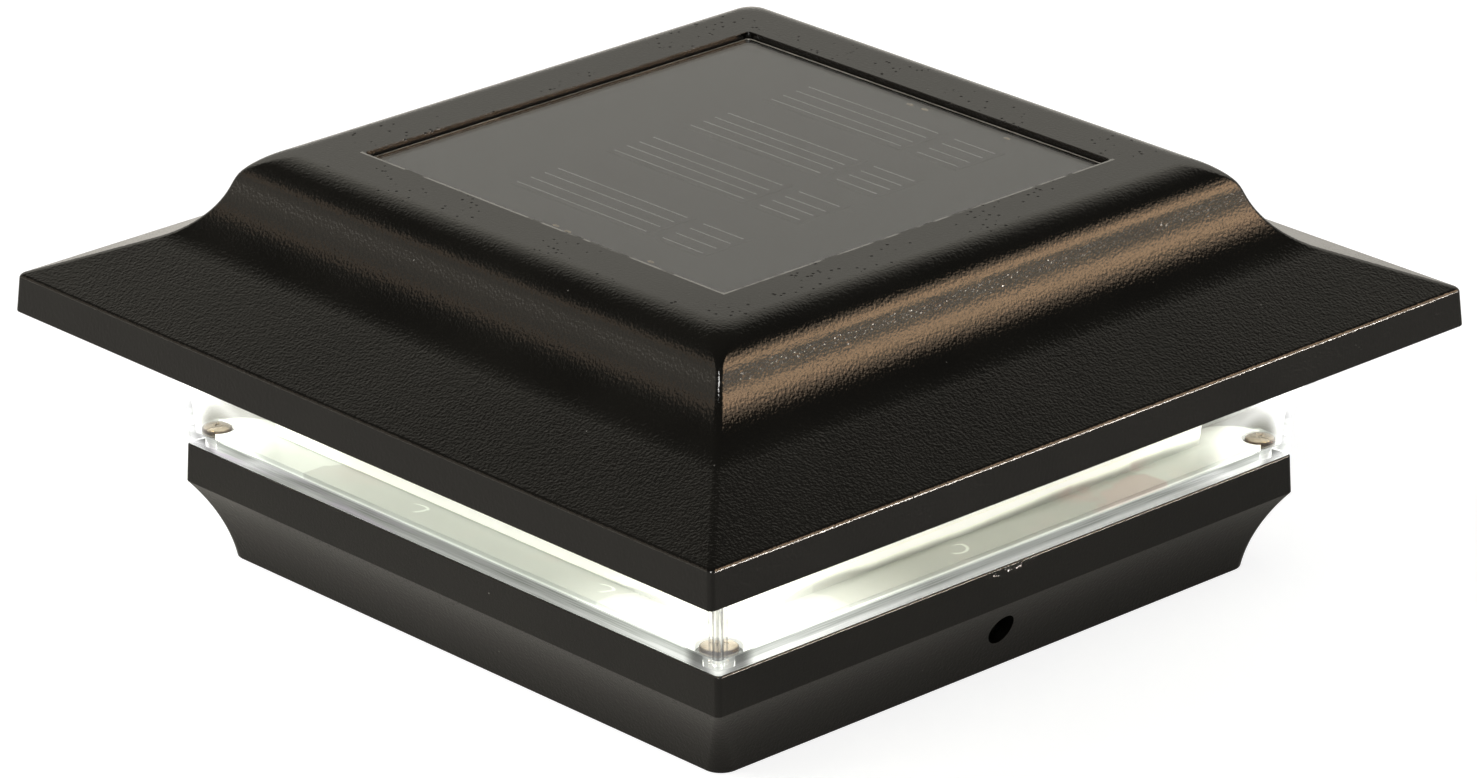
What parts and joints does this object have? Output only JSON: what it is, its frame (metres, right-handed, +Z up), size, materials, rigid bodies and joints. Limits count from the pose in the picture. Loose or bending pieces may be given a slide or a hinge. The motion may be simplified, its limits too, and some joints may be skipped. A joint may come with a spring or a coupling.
{
  "type": "deck post cap light",
  "caption": "Square solar cap light for a deck post: black cast cap with a panel in its top, a clear flared lens under the eave and a cast base ring that drops over the post.",
  "frame": {"origin": "middle of the base's lower rim, which is the bottom centre of the whole light", "axes": "+Z up, away from the post; +X through the side with the screw hole that shows in the picture; the battery door lies towards -Y and the switch towards +Y"},
  "size_m": [0.2058, 0.2058, 0.0875],
  "materials": {
    "black_coat": "cast aluminium under a black satin powder coat, slightly textured",
    "clear_lens": "clear moulded acrylic",
    "panel_laminate": "semi-gloss clear laminate",
    "nickel_screws": "nickel plated",
    "steel_screws": "zinc plated",
    "white_reflector": "white gloss",
    "white_board": "white solder mask",
    "lamp_dome": "clear dome over phosphor",
    "seal_rubber": "matte",
    "panel_board": "matte grey",
    "solar_cell": "dark anti-glare cell",
    "housing_plastic": "white moulded plastic",
    "black_plastic": "black moulded plastic",
    "knob_plastic": "black moulded plastic",
    "cell_sleeve": "plain green sleeve",
    "spring_steel": "nickel plated spring steel",
    "circuit_board": "green solder mask",
    "component_plastic": "moulded components",
    "lead_insulation": "red and black insulation",
    "lead_insulation_pale": "pale insulation"
  },
  "bodies": {
    "light_body": {"base_casting": "black_coat", "cap_casting": "black_coat", "lens_tray": "clear_lens", "panel_cover": "panel_laminate", "lens_screws": "nickel_screws", "cap_screws": "steel_screws", "led_screws": "steel_screws", "switch_screws": "steel_screws", "board_screws": "steel_screws", "light_reflector": "white_reflector", "ceiling_reflector": "white_reflector", "led_boards": "white_board", "led_lamps": "lamp_dome", "lens_gasket": "seal_rubber", "rim_gasket": "seal_rubber", "panel_seal": "seal_rubber", "panel_board": "panel_board", "solar_cells": "solar_cell", "electronics_housing": "housing_plastic", "battery_holder": "black_plastic", "switch_body": "black_plastic", "battery_cells": "cell_sleeve", "battery_springs": "spring_steel", "battery_plates": "spring_steel", "control_board": "circuit_board", "board_components": "component_plastic", "panel_leads": "lead_insulation", "battery_leads": "lead_insulation", "led_leads": "lead_insulation_pale"},
    "battery_door": {"battery_door": "housing_plastic", "door_seal": "seal_rubber", "door_screws": "steel_screws"},
    "power_knob": {"switch_knob": "knob_plastic"}
  },
  "joints": [
    {"name": "battery_door_lift", "type": "slide", "parent": "light_body", "child": "battery_door", "axis": [0, 0, -1], "range_m": [0, 0.015]},
    {"name": "power_knob_slide", "type": "slide", "parent": "light_body", "child": "power_knob", "axis": [1, 0, 0], "range_m": [0, 0.004]}
  ]
}
